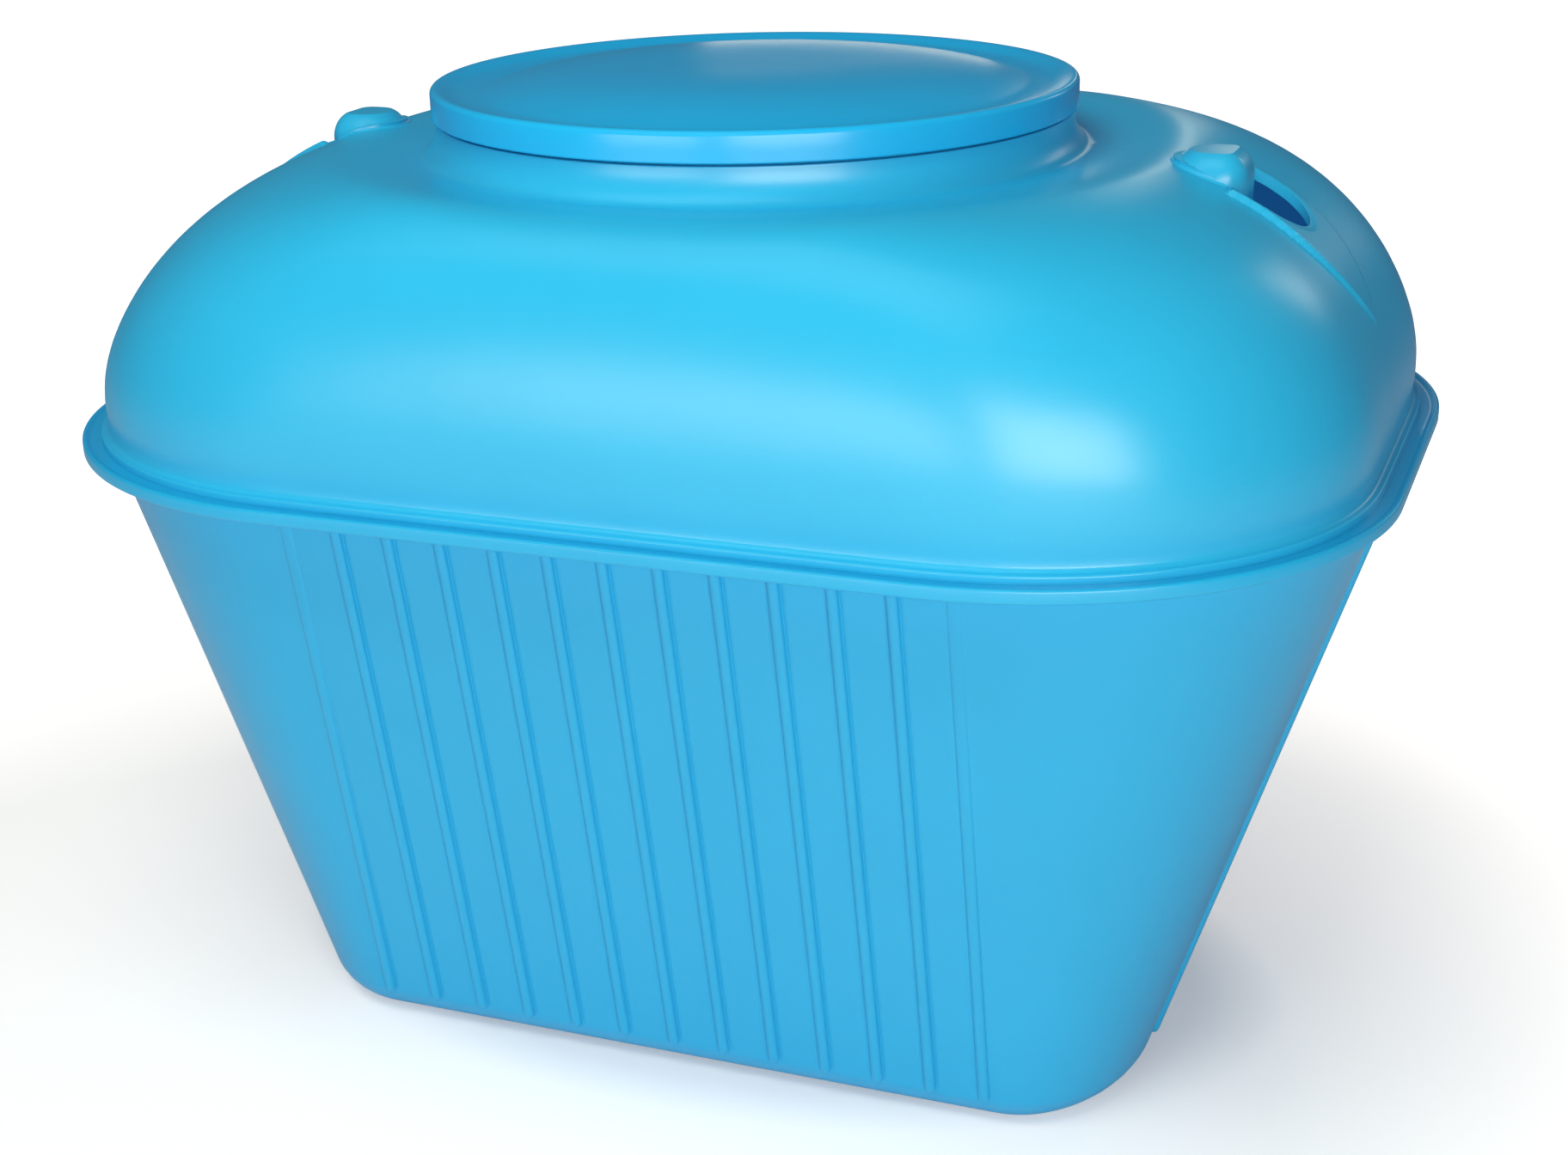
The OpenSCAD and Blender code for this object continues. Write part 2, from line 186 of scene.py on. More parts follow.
def level(plan, z):
    """A row of points at one height over a plan."""
    return np.column_stack([plan, np.full(len(plan), z)])


def rim_outline(k, inset):
    """The rim's outline at stations k, drawn in by an inset."""
    return outline(k, RIM_HALF_LENGTH - inset, RIM_HALF_WIDTH - inset, RIM_FLAT_LENGTH)


def soft_outline(k, inset):
    """The rim's outline with its changes of spacing softened over about a station."""
    spread, per_station = 0.6, 16
    count = STATIONS * per_station
    points = rim_outline(np.arange(count) / per_station, inset)
    waves = np.fft.fftfreq(count, 1 / count)
    soften = np.exp(-0.5 * (2 * np.pi * waves * spread / STATIONS) ** 2)[:, None]
    points = np.real(np.fft.ifft(np.fft.fft(points, axis=0) * soften, axis=0))
    at = np.append(np.arange(count), count) / per_station
    points = np.vstack([points, points[:1]])
    k = np.asarray(k, float) % STATIONS
    return np.stack([np.interp(k, at, points[:, 0]), np.interp(k, at, points[:, 1])], -1)


# ---- dome surface -------------------------------------------------------------------------------


def fullness(t):
    """Power of the dome's bulge in the direction t: from an end, over a corner, to a side."""
    end = np.where(np.cos(t) > 0, RIGHT_FULLNESS, LEFT_FULLNESS)
    softness = np.where(np.cos(t) > 0, RIGHT_SOFTNESS, LEFT_SOFTNESS)
    return end + (SIDE_FULLNESS - end) * np.sin(t) ** 2 - softness * np.sin(2 * t) ** 2


def dome_points(k, u, depth=0.0):
    """Grid of the dome's skin: rows are shares u of its height, columns stations k."""
    t = np.radians(90 * np.asarray(k, float) / QUARTER)
    flare = FLARE_RADIUS * np.stack([np.cos(t), np.sin(t)], -1)
    n = fullness(t)
    base = soft_outline(k, DOME_INSET + depth)
    inward = base - soft_outline(k, DOME_INSET + depth + 1)
    rows = []
    for share in u:
        tuck = DOME_TUCK * max(0, 1 - share / TUCK_SHARE) ** 2
        spread = (1 - min(share, 1) ** (SHOULDER_START * n)) ** (1 / n)
        plan = flare + (base - inward * tuck - flare) * spread[:, None]
        height = DOME_START + (DOME_TOP - DOME_START - depth) * share
        away = np.hypot(plan[:, 0], plan[:, 1]) - FLARE_RADIUS
        rows.append(np.column_stack([plan, height - NECK_DIP * (1 - ramp(away, 0, DIP_REACH))]))
    return np.array(rows)


def grid_normals(grid):
    """Outward normals of a grid whose columns run right round."""
    up = np.gradient(grid, axis=0)
    along = np.roll(grid, -1, axis=1) - np.roll(grid, 1, axis=1)
    normal = np.cross(along, up)
    return normal / np.maximum(np.linalg.norm(normal, axis=-1, keepdims=True), 1e-9)


def edge_distance(value, gradient):
    """Distance from the edge where a value is 0, from the value and its gradient."""
    return value / np.maximum(np.sqrt(sum(g * g for g in gradient)), 1e-6)


def hole_distance(x, y):
    """Distance outwards from the edge of a port's hole, x measured from the tank's centre."""
    power = 2 / HOLE_POWER
    s = np.maximum(x - HOOD_END, 0) / (HOLE_END - HOOD_END)
    value = (y / HOLE_HALF_WIDTH) ** 2 + s ** power - 1
    gradient = (2 * y / HOLE_HALF_WIDTH ** 2, power * s ** (power - 1) / (HOLE_END - HOOD_END))
    return edge_distance(value, gradient)


def tail_distance(x, y):
    """Distance inwards from the outer edge of a port's lip and its tail."""
    s = np.maximum(x - TAIL_START, 0) / (TAIL_END - TAIL_START)
    w = np.abs(y) / LIP_HALF_WIDTH
    value = 1 - s ** 2 - w ** TAIL_POWER
    gradient = (2 * s / (TAIL_END - TAIL_START),
                TAIL_POWER * w ** (TAIL_POWER - 1) / LIP_HALF_WIDTH)
    return edge_distance(value, gradient)


def past_hole_start(x):
    """Rises from 0 to 1 where a port's hole starts under its hood."""
    return ramp(x, HOLE_START - 4, HOLE_START + 2)


def lip_rise(points):
    """Height of the ports' lips and tails above the dome at the given points."""
    x = np.where(points[..., 0] < 0, LEFT_PORT_SHIFT - points[..., 0], points[..., 0])
    y = points[..., 1] - PORT_OFFSET
    height = LIP_HEIGHT * np.clip((TAIL_END - x) / (TAIL_END - TAIL_START), 0, 1) ** LIP_FADE
    inside = ramp(tail_distance(x, y), -LIP_BLEND, LIP_FACE) * past_hole_start(x)
    rolled = LIP_ROLL * (1 - ramp(hole_distance(x, y), -LIP_BLEND, LIP_ROLL_WIDTH))
    return np.maximum(height * inside - rolled * (inside > 0), 0)


# ---- materials ----------------------------------------------------------------------------------

ROUGHNESS_SPREAD = 0.02


def plastic(name, colour, deep, roughness=0.305, shine=0.7):
    """Satin moulded polyethylene: faint mottling, brushed streaks and a fine moulded grain."""
    material = bpy.data.materials.new(name)
    material.use_nodes = True
    nodes, links = material.node_tree.nodes, material.node_tree.links
    shader = nodes["Principled BSDF"]
    shader.inputs["IOR"].default_value = 1.5
    shader.inputs["Specular IOR Level"].default_value = shine
    place = nodes.new("ShaderNodeTexCoord")

    def noise(scale, detail, stretch=(1, 1, 1)):
        mapping = nodes.new("ShaderNodeMapping")
        mapping.inputs["Scale"].default_value = stretch
        links.new(place.outputs["Object"], mapping.inputs["Vector"])
        node = nodes.new("ShaderNodeTexNoise")
        node.inputs["Scale"].default_value = scale
        node.inputs["Detail"].default_value = detail
        links.new(mapping.outputs["Vector"], node.inputs["Vector"])
        return node.outputs["Fac"]

    def between(factor, low, high, kind):
        node = nodes.new("ShaderNodeMix")
        node.data_type = kind
        first, second, result = {"RGBA": (6, 7, 2), "FLOAT": (2, 3, 0)}[kind]
        links.new(factor, node.inputs["Factor"])
        node.inputs[first].default_value = low
        node.inputs[second].default_value = high
        return node.outputs[result]

    def bump(height, strength, distance):
        node = nodes.new("ShaderNodeBump")
        node.inputs["Strength"].default_value = strength
        node.inputs["Distance"].default_value = distance
        links.new(height, node.inputs["Height"])
        return node

    links.new(between(noise(9, 3), (*colour, 1), (*deep, 1), "RGBA"), shader.inputs["Base Color"])
    streaks = noise(60, 4, (1, 1, 9))
    uneven = between(streaks, roughness - ROUGHNESS_SPREAD, roughness + ROUGHNESS_SPREAD, "FLOAT")
    links.new(uneven, shader.inputs["Roughness"])
    grain = bump(noise(420, 3), 0.006, 0.001)
    waves = bump(noise(14, 2), 0.25, 0.0015)
    links.new(grain.outputs["Normal"], waves.inputs["Normal"])
    links.new(waves.outputs["Normal"], shader.inputs["Normal"])
    return material


# ---- dome, foot and neck: one moulding ----------------------------------------------------------


def foot_rows(k):
    """Rows of the dome's foot: a sharp-edged bead that curves up into the wall."""
    wall = DOME_INSET + DOME_TUCK
    bead_top = FOOT_EDGE + 0.8 + FOOT_ROUND
    profile = [(FOOT_INSET, LEDGE_TOP), (FOOT_INSET, FOOT_EDGE)]
    profile += arc(FOOT_INSET + FOOT_ROUND, bead_top - FOOT_ROUND, FOOT_ROUND, 180, 95, 4)
    profile += arc(wall - FOOT_HOLLOW, bead_top + FOOT_HOLLOW, FOOT_HOLLOW, -88, -8, 6)
    return [level(soft_outline(k, inset), z) for inset, z in profile]


def neck_rows(k):
    """Rows up the outside of the neck, over its top and down its inside."""
    hollow = [(r, z - NECK_DIP * (1 - (z - DOME_TOP) / NECK_FILLET))
              for r, z in arc(FLARE_RADIUS, DOME_TOP + NECK_FILLET, NECK_FILLET, -88, -180, 9)]
    ledge = arc(NECK_RADIUS - EDGE_ROUND, NECK_LEDGE - EDGE_ROUND, EDGE_ROUND, 0, 90, 3)
    spigot = [(SPIGOT_RADIUS + 0.5, NECK_LEDGE), (SPIGOT_RADIUS, NECK_LEDGE + 0.5),
              (SPIGOT_RADIUS, NECK_TOP - EDGE_ROUND), (SPIGOT_RADIUS - EDGE_ROUND, NECK_TOP)]
    inside = [(SPIGOT_RADIUS - SKIN + EDGE_ROUND, NECK_TOP),
              (SPIGOT_RADIUS - SKIN, NECK_TOP - EDGE_ROUND),
              (SPIGOT_RADIUS - SKIN, NECK_LEDGE - SKIN + EDGE_ROUND),
              (NECK_RADIUS - SKIN - EDGE_ROUND, NECK_LEDGE - SKIN)]
    inside += arc(FLARE_RADIUS, DOME_TOP + NECK_FILLET - NECK_DIP, NECK_FILLET + SKIN, 190, 268, 7)
    t = np.radians(90 * k / QUARTER)
    around = np.column_stack([np.cos(t), np.sin(t)])
    return [level(r * around, z) for r, z in hollow + ledge + spigot + inside]


def shares_of_height(first, last, spacing):
    """Shares of the dome's height, evenly spaced along its right end between two distances out."""
    u = np.sin(np.linspace(0, np.pi / 2, 4000))
    line = dome_points([0], u)[:, 0]
    out = np.hypot(line[:, 0], line[:, 1])
    along = np.concatenate([[0], np.cumsum(np.linalg.norm(np.diff(line, axis=0), axis=1))])
    start, end = np.interp([-last, -first], -out, along)
    return np.interp(steps((start, end, spacing)), along, u)


def dome_wall(k):
    """The outer surface between foot and neck, with the ports' lips and tails raised on it."""
    shares = [shares_of_height(*stretch) for stretch in OUT_FROM_NECK]
    u = np.unique(np.concatenate([[0], *shares]))
    wall = dome_points(k, u)
    return wall + grid_normals(wall) * lip_rise(wall)[..., None]


def build_dome(material):
    """One closed skin: foot, outside, neck and inside, with the ports' holes cut through it."""
    k = steps(*ROUND_DOME)[:-1]
    u = np.sin(np.linspace(0, np.pi / 2, INNER_ROWS, endpoint=False))
    inside = dome_points(k, u, DOME_SKIN)[::-1]
    inner_foot = level(soft_outline(k, DOME_INSET + DOME_TUCK + DOME_SKIN), LEDGE_TOP)
    rows = foot_rows(k) + list(dome_wall(k)) + neck_rows(k) + list(inside) + [inner_foot]
    piece = mesh_piece("moulded_dome", np.vstack(rows),
                       grid_faces(len(rows), len(k), wrap_rows=True), material, "tank", 40)
    for side in (1, -1):
        cut(piece, port_hole_cutter(side))
    smooth(piece.data, 40)
    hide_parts("dome_foot", "dome_front", "dome_back", "dome_left_end", "dome_right_end",
                "dome_front_left", "dome_front_right", "dome_back_left", "dome_back_right",
                "left_port_lip", "right_port_lip", "manhole_neck")


def prism(name, plan, low, high):
    """An upright closed prism over a plan that runs counterclockwise."""
    count = len(plan)
    points = [(x, y, z) for z in (low, high) for x, y in plan]
    faces = grid_faces(2, count) + [list(range(count))[::-1], [count + i for i in range(count)]]
    mesh = bpy.data.meshes.new(name)
    mesh.from_pydata((np.array(points) * MM).tolist(), [], faces)
    piece = bpy.data.objects.new(name, mesh)
    scene.collection.objects.link(piece)
    return piece


def port_shift(side):
    """Distance by which a port sits nearer to the tank's centre than the right one."""
    return LEFT_PORT_SHIFT if side < 0 else 0


def place_port(plan, side):
    """Moves a plan drawn for the right end to the given end, still counterclockwise."""
    moved = [(side * (x - port_shift(side)), y + PORT_OFFSET) for x, y in plan]
    return moved if side > 0 else moved[::-1]


def port_hole_cutter(side):
    """An upright prism that cuts a port's hole through the dome, from inside the tank upwards."""
    below = DOME_START + 20
    t = np.radians(np.linspace(-88, 88, 45))
    plan = [(HOLE_START, -HOLE_HALF_WIDTH)]
    plan += [(HOOD_END + (HOLE_END - HOOD_END) * c ** HOLE_POWER, HOLE_HALF_WIDTH * s)
             for c, s in zip(np.cos(t), np.sin(t))]
    plan += [(HOLE_START, HOLE_HALF_WIDTH)]
    return prism("cutter", place_port(plan, side), below, LID_EDGE_HEIGHT)


def cut(piece, cutter):
    """Cuts one object out of another and deletes the cutter."""
    modifier = piece.modifiers.new("cut", "BOOLEAN")
    modifier.operation = "DIFFERENCE"
    modifier.solver = "EXACT"
    modifier.object = cutter
    bpy.context.view_layer.update()
    done = bpy.data.meshes.new_from_object(
        piece.evaluated_get(bpy.context.evaluated_depsgraph_get()))
    piece.modifiers.clear()
    old = piece.data
    piece.data = done
    bpy.data.meshes.remove(old)
    bpy.data.objects.remove(cutter)


# ---- port hoods ---------------------------------------------------------------------------------


def dome_height(side):
    """A function that gives the dome's height at plan points drawn for the port of one end."""
    k = np.arange(-4, 4.01, 0.1)   # stations to both sides of the end's middle
    grid = dome_points(k if side > 0 else STATIONS / 2 - k, np.sin(np.linspace(0.2, np.pi / 2, 160)))
    grid[..., 0] *= side

    def height_along(x, y):
        """Height over x on the dome's section along the tank at y."""
        beyond = grid[..., 1] - y
        section = []
        for row, c in enumerate(np.argmax(beyond > 0, axis=1)):
            if c > 0:
                share = -beyond[row, c - 1] / (beyond[row, c] - beyond[row, c - 1])
                section.append(grid[row, c - 1] + share * (grid[row, c] - grid[row, c - 1]))
        section = np.array(section)[::-1]
        return np.interp(x - port_shift(side), section[:, 0], section[:, 2])

    def height(plan):
        """Height at each point of a plan drawn about the port's axis."""
        return np.array([height_along(x, y + PORT_OFFSET) for x, y in plan])
    return height


def hood_plan(inset):
    """The hood's plan drawn in by an inset: round towards the neck, blunt over the hole."""
    count = 9
    r, corner = HOOD_HALF_WIDTH - inset, max(HOOD_CORNER - inset, 0.5)
    round_end, square_end = HOOD_START + HOOD_HALF_WIDTH, HOOD_END - HOOD_CORNER
    straight = [round_end + share * (square_end - round_end) for share in (0.33, 0.66)]
    plan = arc(round_end, 0, r, 90, 270, 3 * count) + [(x, -r) for x in straight]
    plan += arc(square_end, corner - r, corner, -90, 0, count)
    plan += arc(square_end, r - corner, corner, 0, 90, count)
    return np.array(plan + [(x, r) for x in straight[::-1]])


def hood_rows(height):
    """Rows up a hood: a hollow curve out of the dome, upright sides, a rounding and the top."""
    base = hood_plan(0)
    over_hole = past_hole_start(base[:, 0])
    rows = []
    for turn in (0, 22, 45, 68):
        t = math.radians(turn)
        plan = hood_plan(-HOOD_FILLET * (1 - math.sin(t)))
        z = height(plan) - HOOD_SINK + HOOD_FILLET * (1 - math.cos(t))
        z += (HOOD_IN_HOLE + turn / 11 - z) * over_hole
        rows.append(np.column_stack([plan + (base - plan) * over_hole[:, None], z]))
    foot = height(base) + HOOD_FILLET
    crest = HOOD_TOP - HOOD_ROUND * math.sin(math.radians(HOOD_TURN))
    shoulder = np.maximum(crest, foot + 0.5)
    for share in (0.1, 0.5):
        rows.append(np.column_stack([base, foot + (shoulder - foot) * share]))
    for t in np.radians(np.linspace(0, HOOD_TURN, 12)):
        plan = hood_plan(HOOD_ROUND * (1 - math.cos(t)))
        z = crest + HOOD_ROUND * math.sin(t)
        rows.append(np.column_stack([plan, np.maximum(z, shoulder + 0.3 * math.sin(t))]))
    middle = np.array([(HOOD_START + HOOD_END) / 2, 0])
    edge, edge_z = rows[-1][:, :2], rows[-1][:, 2]
    for share in (0.93, 0.8, 0.6, 0.4, 0.2, 0.05):
        z = edge_z + (HOOD_TOP + HOOD_CROWN - edge_z) * (1 - share ** 2)
        rows.append(np.column_stack([middle + (edge - middle) * share, z]))
    return np.array(rows)


def build_hood(side, material, height):
    """A port's hood, drawn for the right end and moved to its own."""
    grid = hood_rows(height)
    grid[..., 1] += PORT_OFFSET
    grid[..., 0] = side * (grid[..., 0] - port_shift(side))
    if side < 0:
        grid = grid[:, ::-1]
    count = grid.shape[1]
    faces = grid_faces(len(grid), count)
    faces.append([(len(grid) - 1) * count + i for i in range(count)])
    name = "right" if side > 0 else "left"
    piece = mesh_piece(name + "_hood_shell", grid.reshape(-1, 3), faces, material, "tank", 24)
    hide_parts(name + "_port_hood")


# ---- tub ----------------------------------------------------------------------------------------


def lean(z):
    """How far up the sloping wall a height is: 0 at the floor's top, 1 under the rim."""
    return np.maximum(0, z - SKIN) / (RIM_UNDER - SKIN)


def bead(distance):
    """Height of a rib above the wall at a distance from its axis, with a fine groove beside it."""
    cap = RIB_HEIGHT * np.sqrt(np.maximum(1 - (distance / RIB_HALF_WIDTH) ** 2, 0))
    across = (distance - RIB_HALF_WIDTH - 0.1) / RIB_GROOVE_WIDTH
    groove = -RIB_GROOVE_DEPTH * np.sin(np.pi * np.clip(across, 0, 1) ** 0.7)
    return np.where(distance < RIB_HALF_WIDTH, cap, groove)


def wall_positions(count, half):
    """Positions across a wall, close together over its ribs, and those of the ribs' axes."""
    across = [0, 1.6, 3.1, 4.2, 4.9, 5.3, 5.49, 5.6, 5.9, 6.3, 6.8, 7.4, 12]   # from a rib's axis
    ribs = (np.arange(count) - (count - 1) / 2) * RIB_PITCH
    at = sorted({round(r + sign * a, 3) for r in ribs for a in across for sign in (-1, 1)}
                | {round(m, 3) for m in (ribs[:-1] + ribs[1:]) / 2} | {-half, half})
    return np.array([p for p in at if abs(p) <= half]), ribs


def rib_rise(at, ribs, z, fade):
    """Height of the ribs at positions across a wall; the outer two sink by fade to the top."""
    rise = np.zeros(len(at))
    for n, r in enumerate(ribs):
        sunk = fade * lean(z) if n in (0, len(ribs) - 1) else 0
        distance = np.hypot(at - r, max(0, RIB_FOOT - z))
        rise += bead(distance) * (1 - sunk / RIB_HEIGHT)
    return rise


def build_tub(material):
    """The tub's skin with its ribs, inside and out, and its floor."""
    end_at, end_ribs = wall_positions(END_RIBS, END_FLAT_WIDTH)
    side_at, side_ribs = wall_positions(LONG_RIBS, BASE_FLAT_LENGTH)
    corner = np.radians(np.linspace(0, 90, 25))[1:-1]
    tilt_end = math.atan((TOP_HALF_LENGTH - BASE_HALF_LENGTH) / (RIM_UNDER - SKIN))
    tilt_side = math.atan((TOP_HALF_WIDTH - BASE_HALF_WIDTH) / (RIM_UNDER - SKIN))

    def row(z, inset, ribbed):
        a = BASE_HALF_LENGTH + (TOP_HALF_LENGTH - BASE_HALF_LENGTH) * lean(z) - inset
        b = BASE_HALF_WIDTH + (TOP_HALF_WIDTH - BASE_HALF_WIDTH) * lean(z) - inset
        flat = BASE_FLAT_LENGTH + (TOP_FLAT_LENGTH - BASE_FLAT_LENGTH) * lean(z)
        rise_end = rib_rise(end_at, end_ribs, z, 0) * ribbed
        rise_side = rib_rise(side_at, side_ribs, z, RIB_FADE) * ribbed
        end = np.column_stack([a + rise_end * math.cos(tilt_end), end_at,
                               z - rise_end * math.sin(tilt_end)])
        curve = level(np.column_stack([flat + (a - flat) * np.cos(corner),
                                       END_FLAT_WIDTH + (b - END_FLAT_WIDTH) * np.sin(corner)]), z)
        side = np.column_stack([side_at, b + rise_side * math.cos(tilt_side),
                                z - rise_side * math.sin(tilt_side)])[::-1]
        joint = np.array([[flat, b, z]])
        half = np.vstack([end, curve, joint, side, joint * (-1, 1, 1), curve[::-1] * (-1, 1, 1)])
        return np.vstack([half, half * (-1, -1, 1)])

    # Rows are close at the ribs' round lower ends.
    foot = [(FOOT_RADIUS * (1 - math.cos(t)), FOOT_RADIUS * (1 - math.sin(t)))
            for t in np.radians([*np.linspace(90, 11.25, 8), 9, 7.5, 6.5, 5.6, 4.7, 3.8, 2.9, 1.5])]
    wall = [(0, z) for z in (FOOT_RADIUS, 33, 34, 36, 38, 41, 46, 56, 80, 130, 200, 280, 360, 440, 510,
                             560, RIM_UNDER)]
    inside = [(SKIN, RIM_UNDER + 5), (SKIN, 300), (SKIN, FOOT_RADIUS), (SKIN + 7.3, SKIN + 7.3),
              (FOOT_RADIUS, SKIN)]
    rows = [row(z, inset, 1) for inset, z in foot + wall]
    rows += [row(z, inset, 0) for inset, z in inside]
    count = rows[0].shape[0]
    faces = grid_faces(len(rows), count)
    faces.append(list(range(count))[::-1])
    faces.append([(len(rows) - 1) * count + i for i in range(count)])
    piece = mesh_piece("ribbed_tub", np.vstack(rows), faces, material, "tank", 50)
    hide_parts("tub_floor", "tub_front_wall", "tub_back_wall", "tub_left_wall",
                "tub_right_wall", "tub_front_left_corner", "tub_front_right_corner",
                "tub_back_left_corner", "tub_back_right_corner", "front_ribs", "back_ribs",
                "left_ribs", "right_ribs")


def build_rim(material):
    """The wide ledge with its rolled edge, and the shallow recess in which the dome stands."""
    k = np.arange(0, STATIONS, 0.25)
    low = RIM_UNDER - 4
    profile = [(12, RIM_UNDER), (9, RIM_UNDER - 0.4), (7.5, low + 1)]
    profile += arc(5.5, low + 1.2, 1.2, -45, -90, 3) + arc(2.2, low + 2.2, 2.2, -90, -180, 5)
    profile += arc(2.4, LEDGE_TOP + 0.3, 2.4, 180, 95, 5)
    profile += [(3.6, LEDGE_TOP + 2.5), (4.8, LEDGE_TOP + 1.8), (6, LEDGE_TOP + 0.8),
                (7.5, LEDGE_TOP + 0.2), (9.5, LEDGE_TOP)]
    in_wall = outline(k, TOP_HALF_LENGTH - RIM_IN_WALL, TOP_HALF_WIDTH - RIM_IN_WALL,
                      TOP_FLAT_LENGTH)
    rows = [level(rim_outline(k, inset), z) for inset, z in profile]
    rows = [level(in_wall, RIM_UNDER)] + rows + [level(in_wall, LEDGE_TOP)]
    piece = mesh_piece("rolled_rim", np.vstack(rows),
                       grid_faces(len(rows), len(k), wrap_rows=True), material, "tank", 50)
    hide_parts("tub_rim")


# ---- lid ----------------------------------------------------------------------------------------


def build_lid(material):
    """The round lid: crown, valley, rounded edge and skirt in one moulding."""
    valley = LID_EDGE_HEIGHT - VALLEY_DEPTH
    top = [(r, valley + CROWN_RISE * (1 - (r / CROWN_RADIUS) ** CROWN_POWER))
           for r in np.linspace(0, CROWN_RADIUS - 6, 48)[1:]]
    foot = top[-1][1] - valley
    edge = [(CROWN_RADIUS - 2, valley + foot * 0.42), (CROWN_RADIUS + 3, valley + foot * 0.13),
            (CROWN_RADIUS + 9, valley), (LID_RADIUS - 25, valley + 0.3),
            (LID_RADIUS - 19, valley + 1.9), (LID_RADIUS - 13, LID_EDGE_HEIGHT - 2.3),
            (LID_RADIUS - 8, LID_EDGE_HEIGHT - 0.4)]
    edge += arc(LID_RADIUS - 5, LID_EDGE_HEIGHT - 5, 5, 90, 0, 7)
    skirt = [(LID_RADIUS, SKIRT_FOOT + 10), (LID_RADIUS, SKIRT_FOOT + 1)]
    skirt += arc(LID_RADIUS - 1.2, SKIRT_FOOT + 1.2, 1.2, 0, -90, 4)
    inside = [(LID_RADIUS - SKIN + 1, SKIRT_FOOT), (LID_RADIUS - SKIN, SKIRT_FOOT + 1),
              (LID_RADIUS - SKIN, NECK_TOP)]
    inside += [(r, max(NECK_TOP, z - SKIN)) for r, z in top[::-1]]
    profile = (top + edge + skirt + inside)[::-1]
    t = np.radians(np.arange(0, 360, 2.0))
    around = np.column_stack([np.cos(t), np.sin(t)])
    rows = [level(r * around, z) for r, z in profile]
    points = np.vstack(rows + [[[0, 0, profile[0][1]], [0, 0, profile[-1][1]]]])
    count = len(t)
    faces = grid_faces(len(rows), count)
    first, last = len(rows) * count, (len(rows) - 1) * count
    faces += [[first, (i + 1) % count, i] for i in range(count)]
    faces += [[first + 1, last + i, last + (i + 1) % count] for i in range(count)]
    piece = mesh_piece("domed_lid", points, faces, material, "lid", 50)
    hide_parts("lid_crown", "lid_skirt")


# ---- stage, in metres ---------------------------------------------------------------------------

CAMERA_PLACE = (0.8152, -2.0700, 1.2398)
CAMERA_TURNS = (0.3674, 0.3578, -0.0214)   # yaw, pitch and roll in radians
SENSOR, LENS = 36, 54.40263                # millimetres

SKY_COLOUR, SKY_STRENGTH = (0.60, 0.85, 1.35, 1), 0.12
FLOOR_HALF = 9
# FLOOR_GLOW and the lifts below are painted light on the floor, seen by the camera alone.
FLOOR_COLOUR, FLOOR_GLOW = (0.80, 0.80, 0.88, 1), (1.0, 0.95, 0.87, 1)
NEAR_LIFT, FAR_LIFT = 0.40, 1.1   # painted light: a glow that the camera alone sees on the floor, near and far off, lower near the tank so the floor there stays darker
LIFT_CENTRE, LIFT_LIMITS = (-0.25, -0.45), (0.85, 2.0)
CONTACT_LIFT = 0.6                # painted shade: how much of the glow is left right beside the tank's foot, which darkens the floor there into a contact shadow
CONTACT_LIMITS = (1.06, 1.28)     # in sizes of the foot

LAMP_AIM = Vector((0, 0, 0.6))
LAMP_COLOUR = (1.0, 1.0, 0.80)
DAYLIGHT_PLACE, DAYLIGHT_AIM = Vector((0.1, 0.0, 0.45)), Vector((0.5, 0.1, 0.75))
DAYLIGHT_COLOUR = (0.8, 0.42, 0.55)


def add_camera():
    """Sees the tank's front and right end from a little above."""
    yaw, pitch, roll = CAMERA_TURNS
    forward = Vector((-math.sin(yaw) * math.cos(pitch), math.cos(yaw) * math.cos(pitch),
                      -math.sin(pitch)))
    right = Vector((math.cos(yaw), math.sin(yaw), 0))
    up = right.cross(forward)
    right, up = (math.cos(roll) * right + math.sin(roll) * up,
                 -math.sin(roll) * right + math.cos(roll) * up)
    data = bpy.data.cameras.new("camera")
    data.lens = LENS
    data.sensor_width = SENSOR
    camera = bpy.data.objects.new("camera", data)
    turn = Matrix((right, up, -forward)).transposed().to_4x4()
    camera.matrix_world = Matrix.Translation(CAMERA_PLACE) @ turn
    scene.collection.objects.link(camera)
    scene.camera = camera


def add_world():
    """Faint skylight, with a plain white background where the camera looks straight at it."""
    world = bpy.data.worlds.new("world")
    scene.world = world
    world.use_nodes = True
    nodes, links = world.node_tree.nodes, world.node_tree.links
    lit = nodes["Background"]
    lit.inputs["Color"].default_value = SKY_COLOUR
    lit.inputs["Strength"].default_value = SKY_STRENGTH
    white = nodes.new("ShaderNodeBackground")
    white.inputs["Color"].default_value = (1, 1, 1, 1)
    white.inputs["Strength"].default_value = 1.0
    path = nodes.new("ShaderNodeLightPath")
    mix = nodes.new("ShaderNodeMixShader")
    links.new(path.outputs["Is Camera Ray"], mix.inputs[0])
    links.new(lit.outputs[0], mix.inputs[1])
    links.new(white.outputs[0], mix.inputs[2])
    links.new(mix.outputs[0], nodes["World Output"].inputs["Surface"])


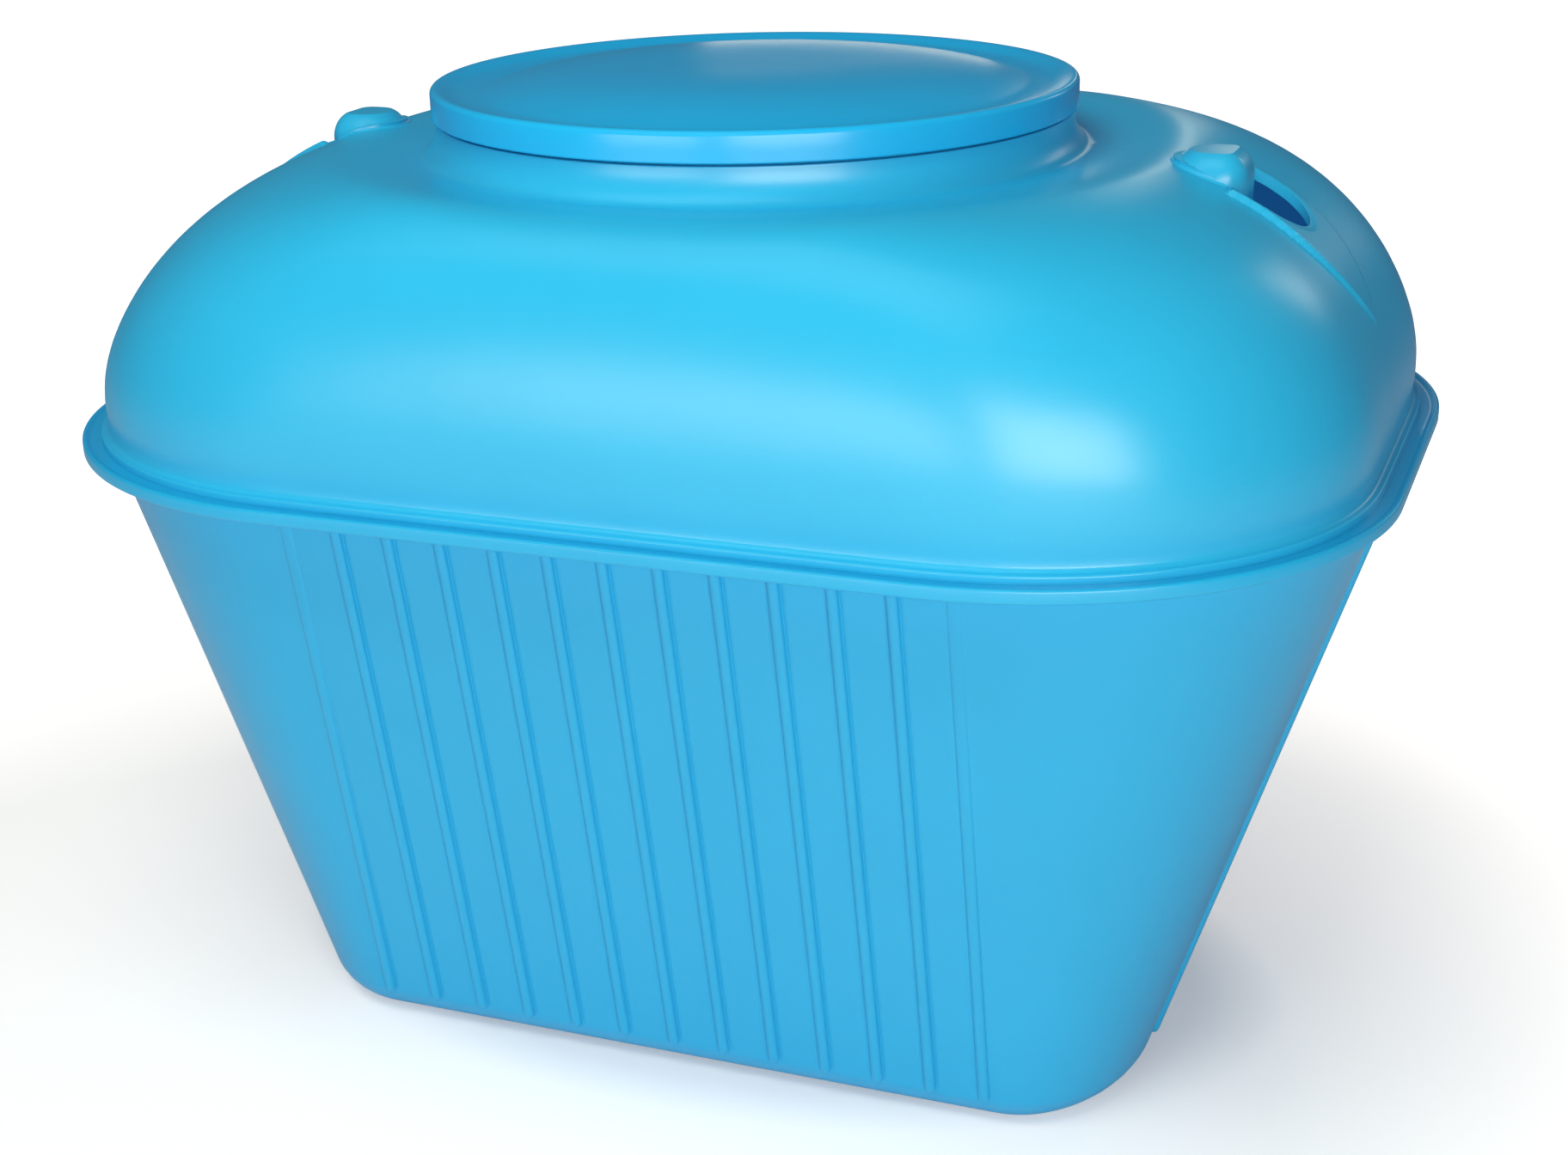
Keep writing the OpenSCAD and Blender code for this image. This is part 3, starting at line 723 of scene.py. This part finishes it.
def add_floor():
    """A plain white floor that keeps the tank's soft shadow and grows brighter away from it, through a
    painted glow that only the camera sees and that is dimmed right beside the foot as a painted
    contact shadow.
    """
    mesh = bpy.data.meshes.new("floor")
    signs = [(-1, -1), (1, -1), (1, 1), (-1, 1)]
    mesh.from_pydata([(FLOOR_HALF * x, FLOOR_HALF * y, 0) for x, y in signs], [], [(0, 1, 2, 3)])
    floor = bpy.data.objects.new("floor", mesh)
    scene.collection.objects.link(floor)
    material = bpy.data.materials.new("floor")
    material.use_nodes = True
    nodes, links = material.node_tree.nodes, material.node_tree.links
    shader = nodes["Principled BSDF"]
    shader.inputs["Base Color"].default_value = FLOOR_COLOUR
    shader.inputs["Roughness"].default_value = 0.9
    shader.inputs["Specular IOR Level"].default_value = 0
    shader.inputs["Emission Color"].default_value = FLOOR_GLOW
    path = nodes.new("ShaderNodeLightPath")
    place = nodes.new("ShaderNodeTexCoord")

    def ramp_from(centre, scale, limits, values):
        """Rises with the distance from a centre, measured in scaled floor coordinates."""
        mapping = nodes.new("ShaderNodeMapping")
        mapping.inputs["Location"].default_value = (-centre[0] * scale[0], -centre[1] * scale[1], 0)
        mapping.inputs["Scale"].default_value = (*scale, 1)
        links.new(place.outputs["Object"], mapping.inputs["Vector"])
        distance = nodes.new("ShaderNodeVectorMath")
        distance.operation = "LENGTH"
        links.new(mapping.outputs["Vector"], distance.inputs[0])
        ramped = nodes.new("ShaderNodeMapRange")
        for n, value in enumerate((*limits, *values)):
            ramped.inputs[n + 1].default_value = value
        links.new(distance.outputs["Value"], ramped.inputs["Value"])
        return ramped.outputs["Result"]

    def product(first, second):
        node = nodes.new("ShaderNodeMath")
        node.operation = "MULTIPLY"
        links.new(first, node.inputs[0])
        links.new(second, node.inputs[1])
        return node.outputs[0]

    # Painted light and shade on the floor: the glow grows with the distance from a point in front of
    # the tank, and is cut down right beside its foot to paint a darker contact shadow.
    spread = ramp_from(LIFT_CENTRE, (1, 1), LIFT_LIMITS, (NEAR_LIFT, FAR_LIFT))
    foot_scale = (1 / (BASE_HALF_LENGTH * MM), 1 / (BASE_HALF_WIDTH * MM))
    beside = ramp_from((0, 0), foot_scale, CONTACT_LIMITS, (CONTACT_LIFT, 1))
    links.new(product(product(spread, beside), path.outputs["Is Camera Ray"]),
              shader.inputs["Emission Strength"])
    mesh.materials.append(material)


def aimed_lamp(name, data, place, aim, glossy):
    """Puts a lamp at a place, facing an aim; reflections show it only where it is glossy."""
    lamp = bpy.data.objects.new(name, data)
    lamp.location = place
    lamp.rotation_euler = (aim - place).to_track_quat("-Z", "Y").to_euler()
    lamp.visible_glossy = glossy
    scene.collection.objects.link(lamp)


def add_lamp(name, bearing, elevation, distance, size, power, glossy=True):
    """A softbox aimed at the tank from a bearing (degrees from +X towards +Y) and elevation."""
    turn, rise = math.radians(bearing), math.radians(elevation)
    place = LAMP_AIM + distance * Vector((math.cos(turn) * math.cos(rise),
                                          math.sin(turn) * math.cos(rise), math.sin(rise)))
    data = bpy.data.lights.new(name, "AREA")
    data.shape = "RECTANGLE"
    data.size, data.size_y = size
    data.energy = power
    data.color = LAMP_COLOUR
    aimed_lamp(name, data, place, LAMP_AIM, glossy)


def add_daylight_inside():
    """The faint daylight that comes into the tank through its thin plastic."""
    data = bpy.data.lights.new("daylight_inside", "AREA")
    data.shape = "DISK"
    data.size = 0.4
    data.energy = 1.0
    data.color = DAYLIGHT_COLOUR
    aimed_lamp("daylight_inside", data, DAYLIGHT_PLACE, DAYLIGHT_AIM, False)


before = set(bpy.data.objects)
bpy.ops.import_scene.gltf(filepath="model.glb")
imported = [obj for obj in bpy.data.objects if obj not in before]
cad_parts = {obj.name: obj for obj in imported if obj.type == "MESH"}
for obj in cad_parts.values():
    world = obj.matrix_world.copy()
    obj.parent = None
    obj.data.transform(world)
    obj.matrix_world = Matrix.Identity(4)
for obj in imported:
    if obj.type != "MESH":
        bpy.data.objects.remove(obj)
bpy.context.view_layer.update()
scene = bpy.context.scene
scene.view_settings.view_transform = "Standard"

add_camera()
add_world()
add_floor()
add_lamp("high_fill", 255, 63, 3.6, (3.0, 2.4), 92, glossy=False)
add_lamp("front_fill", 285, 8, 4.4, (3.4, 1.4), 15, glossy=False)
add_lamp("window_softbox", 301, 8, 3.8, (2.5, 1.4), 66)
add_lamp("front_strip", 257, 3, 4.2, (2.4, 0.8), 28)
add_lamp("right_back_strip", 60, 19, 4.0, (0.35, 0.9), 3.5)
add_lamp("back_strip", 107, 6, 4.0, (0.9, 0.35), 1.5)
add_lamp("shoulder_strip", 92, 18, 4.0, (0.25, 0.9), 1.3)
add_daylight_inside()

dome_blue = plastic("dome_plastic", (0.026, 0.455, 0.810), (0.022, 0.420, 0.765))
tub_blue = plastic("tub_plastic", (0.015, 0.405, 0.765), (0.012, 0.375, 0.720))
lid_blue = plastic("lid_plastic", (0.015, 0.445, 0.885), (0.012, 0.413, 0.835),
                   roughness=0.24, shine=0.5)

build_dome(dome_blue)
for side in (1, -1):
    build_hood(side, dome_blue, dome_height(side))
build_tub(tub_blue)
build_rim(tub_blue)
build_lid(lid_blue)
